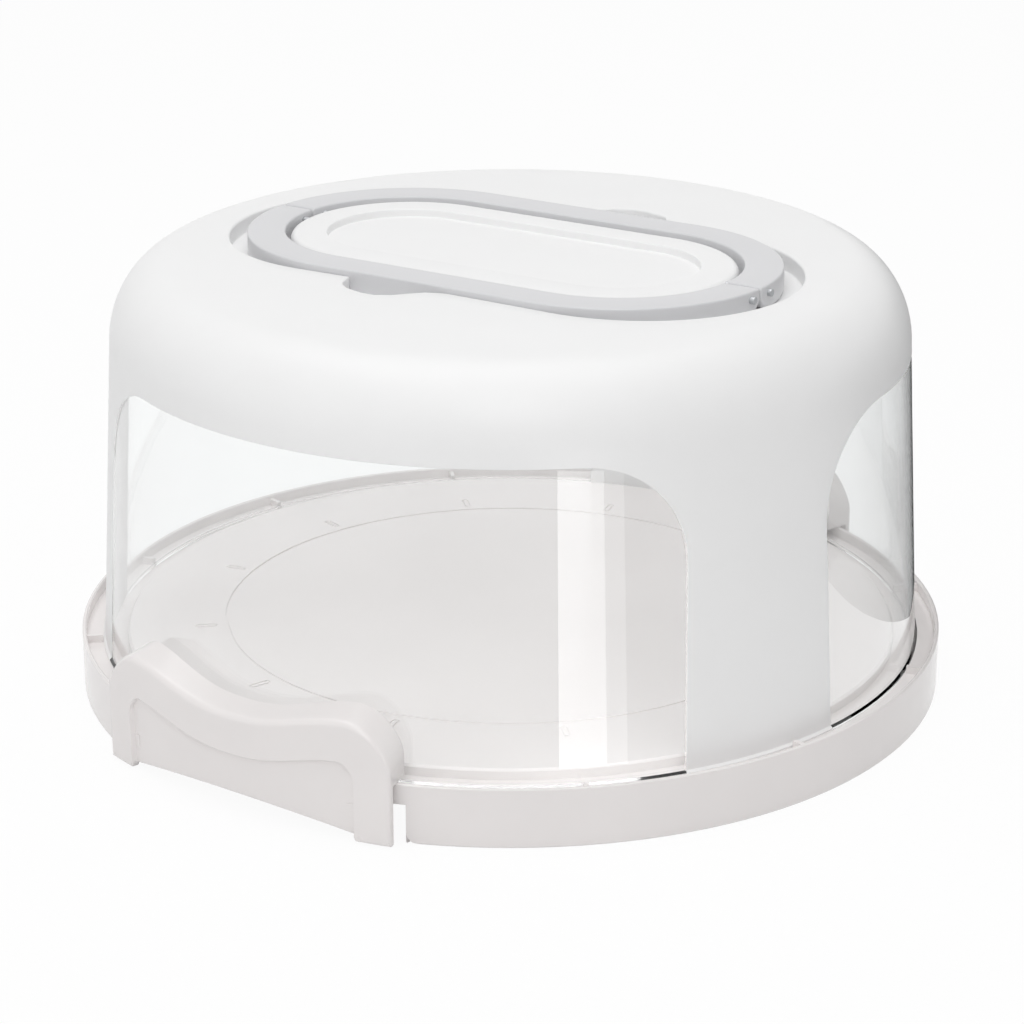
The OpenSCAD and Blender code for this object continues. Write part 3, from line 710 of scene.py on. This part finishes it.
def make_latch(sizes, rear):
    """One latch: a hook section carried along the curve of its face.

    At s along the face the section runs up the front, over the rounded top edge to the lip beside the lid, down
    the lip, and back along the hollow and the inside of the front wall. Each section point is a depth behind the
    face and a height. The sunk panel is a step in the front's depth, and the ends' corners are quarters of a circle.
    """
    half = sizes.latch_width / MM / 2
    r_edge = sizes.latch_round / MM
    s = latch_columns(half)
    a = s / FACE_R
    edge, panel = edge_height(sizes, s), panel_height(sizes, s)
    flank = np.abs(s) - PANEL_HALF
    arch = ARCH_H * (1 - (np.minimum(np.abs(s), PANEL_HALF) / PANEL_HALF) ** 2)
    foot = LEG_Z + (FOOT_STEP + arch) * smooth_step(0.5 - flank)
    face_x, face_y = FACE_R * np.sin(a), FACE_R - FACE_Y - FACE_R * np.cos(a)
    in_x, in_y = -np.sin(a), np.cos(a)
    dot = face_x * in_x + face_y * in_y
    depth = -dot - np.sqrt(dot ** 2 - (face_x ** 2 + face_y ** 2 - LIP_R ** 2))
    slope = TOP_RISE / (FACE_Y - LIP_R)
    corner = np.maximum(0, END_ROUND - (half - np.abs(s)))
    set_in = END_ROUND - np.sqrt(np.maximum(END_ROUND ** 2 - corner ** 2, 0))
    loop = []

    def point(d, z):
        """Add one point of the section, its depth and height given for every column or for all."""
        loop.append((np.broadcast_to(d, s.shape), np.broadcast_to(z, s.shape)))

    def sunk(z):
        """Depth of the front at the height z: the panel's depth inside its outline."""
        return PANEL_DEPTH * smooth_step((panel - z) / PANEL_STEP) * smooth_step(-flank / PANEL_STEP)

    # Up the front, with the rows close together from low to high, across the step at the panel's top
    low = np.minimum(panel, edge - 4) - 1.2
    high = low + 1.6
    crease = edge - r_edge
    for t in np.linspace(np.pi / 2, 0, 5):
        z = foot + FOOT_ROUND * (1 - np.sin(t))
        point(sunk(z) + FOOT_ROUND * (1 - np.cos(t)), z)
    for start, stop, steps in ((foot + FOOT_ROUND, low, 14), (low, high, 10), (high, crease, 12)):
        for k in np.linspace(0, 1, steps)[1:]:
            z = start + k * (stop - start)
            point(sunk(z), z)
    # Over the top edge to the lip
    for t in np.linspace(0, np.pi / 2, 8)[1:]:
        back = r_edge * (1 - np.cos(t))
        point(back, crease + r_edge * np.sin(t) + slope * back)
    for k in np.linspace(0, 1, 6)[1:]:
        d = r_edge + k * (depth - LIP_ROUND - r_edge)
        point(d, edge + slope * d)
    top = edge + slope * depth
    for t in np.linspace(0, np.pi / 2, 4)[1:]:
        point(depth - LIP_ROUND * (1 - np.sin(t)), top - LIP_ROUND * (1 - np.cos(t)))
    # Down the lip, which stays clear of the rim as it swings, and back along the hollow
    lip_y = -(face_y + in_y * depth)
    over = np.sqrt(np.maximum(SWING_R ** 2 - (LATCH_HINGE_Y - lip_y) ** 2, 0))
    lip_low = np.minimum(np.maximum(LIP_Z, LATCH_HINGE_Z + over), top - LIP_ROUND - LEAST_T)
    solid_end = np.clip((np.abs(s) - half + END_WALL + END_SLOPE) / END_SLOPE, 0, 1)
    roof = LIP_Z + np.maximum(edge - LIP_T - LEAST_T - LIP_Z, 0) * (1 - solid_end)
    point(depth, lip_low)
    point(depth - LIP_T, lip_low)
    point(depth - LIP_T, np.maximum(roof, lip_low))
    for k in np.linspace(0, 1, 7):
        point(LATCH_T, roof + k * (foot - roof))
    d, z = np.array([p[0] for p in loop]), np.array([p[1] for p in loop])
    d = np.clip(d, set_in, np.maximum(depth, LATCH_T))
    points = points_at(face_x + in_x * d, face_y + in_y * d, z).transpose(1, 0, 2)
    cols, rows = points.shape[:2]
    faces = grid_quads(cols, rows, closed=True).tolist()
    faces += [list(range(rows)), list(range((cols - 1) * rows, cols * rows))]
    name, body, node = (("rear_latch_hook", "rear_latch", "latch_rear") if rear else
                        ("front_latch_hook", "front_latch", "latch_front"))
    parts = [(turned(p, 180 if rear else 0), f) for p, f in ((points, faces), ear(-1), ear(1))]
    make_piece(name, parts, body, material_named("gloss_white_abs"), node)


# Stage -----------------------------------------------------------------------

def make_floor():
    """A wide pale floor that shows white to the camera and keeps a soft share of the shadow."""
    mesh = bpy.data.meshes.new("studio_floor")
    corners = ((-1, -1), (1, -1), (1, 1), (-1, 1))
    mesh.from_pydata([(x * FLOOR_REACH, y * FLOOR_REACH, 0) for x, y in corners], [], [(0, 1, 2, 3)])
    material = bpy.data.materials.new("white_paper_sweep")
    tree = empty_tree(material)
    paper = add(tree, "ShaderNodeBsdfDiffuse", {"Color": (*linear("#F6F6F6"), 1)})
    glow = add(tree, "ShaderNodeEmission", {"Color": (1, 1, 1, 1), "Strength": 1.0})
    share = add(tree, "ShaderNodeMath", {0: seen_share(tree), 1: FLOOR_SEEN}, operation="MULTIPLY")
    both = add(tree, "ShaderNodeMixShader", {0: share.outputs[0], 1: paper.outputs[0], 2: glow.outputs[0]})
    add(tree, "ShaderNodeOutputMaterial", {"Surface": both.outputs[0]})
    mesh.materials.append(material)
    floor = linked("studio_floor", mesh)


def make_flag():
    """A bent black card behind the right-hand window, seen in reflections only: it darkens that pane's edge."""
    mesh = bpy.data.meshes.new("black_flag")
    corners = [(x, y, z) for y, z in ((0.13, 0.0005), (0.2, 0.0005), (0.2, 0.16)) for x in (0.02, 0.36)]
    mesh.from_pydata(corners, [], [(0, 1, 3, 2), (2, 3, 5, 4)])
    material = bpy.data.materials.new("black_felt")
    tree = empty_tree(material)
    felt = add(tree, "ShaderNodeBsdfDiffuse", {"Color": (*linear("#161616"), 1)})
    add(tree, "ShaderNodeOutputMaterial", {"Surface": felt.outputs[0]})
    mesh.materials.append(material)
    flag = linked("black_flag", mesh)
    flag.visible_camera = flag.visible_diffuse = flag.visible_transmission = flag.visible_shadow = False


def make_world():
    """Even studio air: white where it is seen, dimmer where it only lights the carrier."""
    world = bpy.data.worlds.new("studio_air")
    tree = empty_tree(world)
    strength = add(tree, "ShaderNodeMapRange", {"Value": seen_share(tree), "To Min": AIR_LIGHT, "To Max": 1.0})
    air = add(tree, "ShaderNodeBackground", {"Color": (1, 1, 1, 1), "Strength": strength.outputs["Result"]})
    add(tree, "ShaderNodeOutputWorld", {"Surface": air.outputs[0]})
    bpy.context.scene.world = world


def softbox(name, place, target, width, height, power, only_gloss):
    """A rectangular studio lamp at a place, turned to a target; only_gloss shows it in reflections only."""
    lamp = bpy.data.lights.new(name, "AREA")
    lamp.shape = "RECTANGLE"
    lamp.size, lamp.size_y, lamp.energy = width, height, power
    box = linked(name, lamp)
    aim = np.array(target, float) - np.array(place, float)
    aim /= np.linalg.norm(aim)
    side = np.cross(aim, (0, 0, 1)) if abs(aim[2]) < 0.999 else np.array([1.0, 0, 0])
    side /= np.linalg.norm(side)
    up = np.cross(side, aim)
    box.matrix_world = Matrix(np.vstack([np.column_stack([side, up, -aim, place]), [0, 0, 0, 1]]).tolist())
    if only_gloss:
        box.visible_camera = box.visible_diffuse = box.visible_transmission = False


def make_camera():
    """The photograph's camera: 106 mm lens, 1.0 m away on the level, looking down by 20.4 degrees."""
    lens = bpy.data.cameras.new("studio_camera")
    lens.lens, lens.sensor_width, lens.clip_start = CAMERA_LENS_MM, 36.0, 0.05
    camera = linked("studio_camera", lens)
    turn, pitch = np.radians(CAMERA_TURN), np.radians(CAMERA_PITCH)
    x, y, z = CAMERA_PLACE
    camera.location = (x + CAMERA_ASIDE * np.cos(turn), y + CAMERA_ASIDE * np.sin(turn), z)
    camera.rotation_euler = (np.pi / 2 - pitch, 0, turn)
    bpy.context.scene.camera = camera


# Operators -------------------------------------------------------------------

class CARRIER_OT_stage(Operator):
    """Set up the camera, the floor and the lamps"""
    bl_idname = "carrier.stage"
    bl_label = "Studio"

    def execute(self, context):
        make_camera()
        make_floor()
        make_flag()
        make_world()
        for lamp in LAMPS:
            softbox(*lamp)
        context.scene.view_settings.view_transform = "Standard"
        return {"FINISHED"}


class CARRIER_OT_tray(Operator):
    """Give the tray and the hinge pins of the frame their materials"""
    bl_idname = "carrier.tray"
    bl_label = "Tray and pins"

    def execute(self, context):
        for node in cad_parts:
            if node == "base_tray":
                finish = material_named("gloss_white_abs")
            elif "_pin_" in node:
                finish = material_named("drawn_steel")
            else:
                continue
            for slot in bpy.data.objects[node].material_slots:
                slot.material = finish
        return {"FINISHED"}


class CARRIER_OT_lid(Operator):
    """Make the frosted shell of the lid"""
    bl_idname = "carrier.lid"
    bl_label = "Frosted lid"

    def execute(self, context):
        make_lid(context.scene.carrier_sizes)
        return {"FINISHED"}


class CARRIER_OT_windows(Operator):
    """Make the three clear panes"""
    bl_idname = "carrier.windows"
    bl_label = "Windows"

    def execute(self, context):
        for index in range(3):
            make_window(context.scene.carrier_sizes, index)
        return {"FINISHED"}


class CARRIER_OT_handles(Operator):
    """Make the two folding handles"""
    bl_idname = "carrier.handles"
    bl_label = "Handles"

    def execute(self, context):
        for rear in (False, True):
            make_handle(context.scene.carrier_sizes, rear)
        return {"FINISHED"}


class CARRIER_OT_latches(Operator):
    """Make the two latches"""
    bl_idname = "carrier.latches"
    bl_label = "Latches"

    def execute(self, context):
        for rear in (False, True):
            make_latch(context.scene.carrier_sizes, rear)
        return {"FINISHED"}


class CARRIER_PT_panel(Panel):
    """Lists the carrier's pieces, sizes and colours"""
    bl_label = "Cake carrier"
    bl_idname = "CARRIER_PT_panel"
    bl_space_type = "VIEW_3D"
    bl_region_type = "UI"
    bl_category = "Carrier"

    def draw(self, context):
        for operator in OPERATORS:
            self.layout.operator(operator.bl_idname)
        for group in (context.scene.carrier_sizes, context.scene.carrier_colours):
            for name in group.__annotations__:
                self.layout.prop(group, name)


OPERATORS = (CARRIER_OT_stage, CARRIER_OT_tray, CARRIER_OT_lid, CARRIER_OT_windows, CARRIER_OT_handles,
             CARRIER_OT_latches)
CLASSES = (CarrierSizes, CarrierColours, *OPERATORS, CARRIER_PT_panel)


def register():
    for cls in CLASSES:
        bpy.utils.register_class(cls)
    bpy.types.Scene.carrier_sizes = PointerProperty(type=CarrierSizes)
    bpy.types.Scene.carrier_colours = PointerProperty(type=CarrierColours)


def unregister():
    del bpy.types.Scene.carrier_colours
    del bpy.types.Scene.carrier_sizes
    for cls in reversed(CLASSES):
        bpy.utils.unregister_class(cls)


def main():
    """Build every piece in order."""
    register()
    for step in (bpy.ops.carrier.stage, bpy.ops.carrier.tray, bpy.ops.carrier.lid, bpy.ops.carrier.windows,
                 bpy.ops.carrier.handles, bpy.ops.carrier.latches):
        step()


if __name__ == "__main__":
    main()
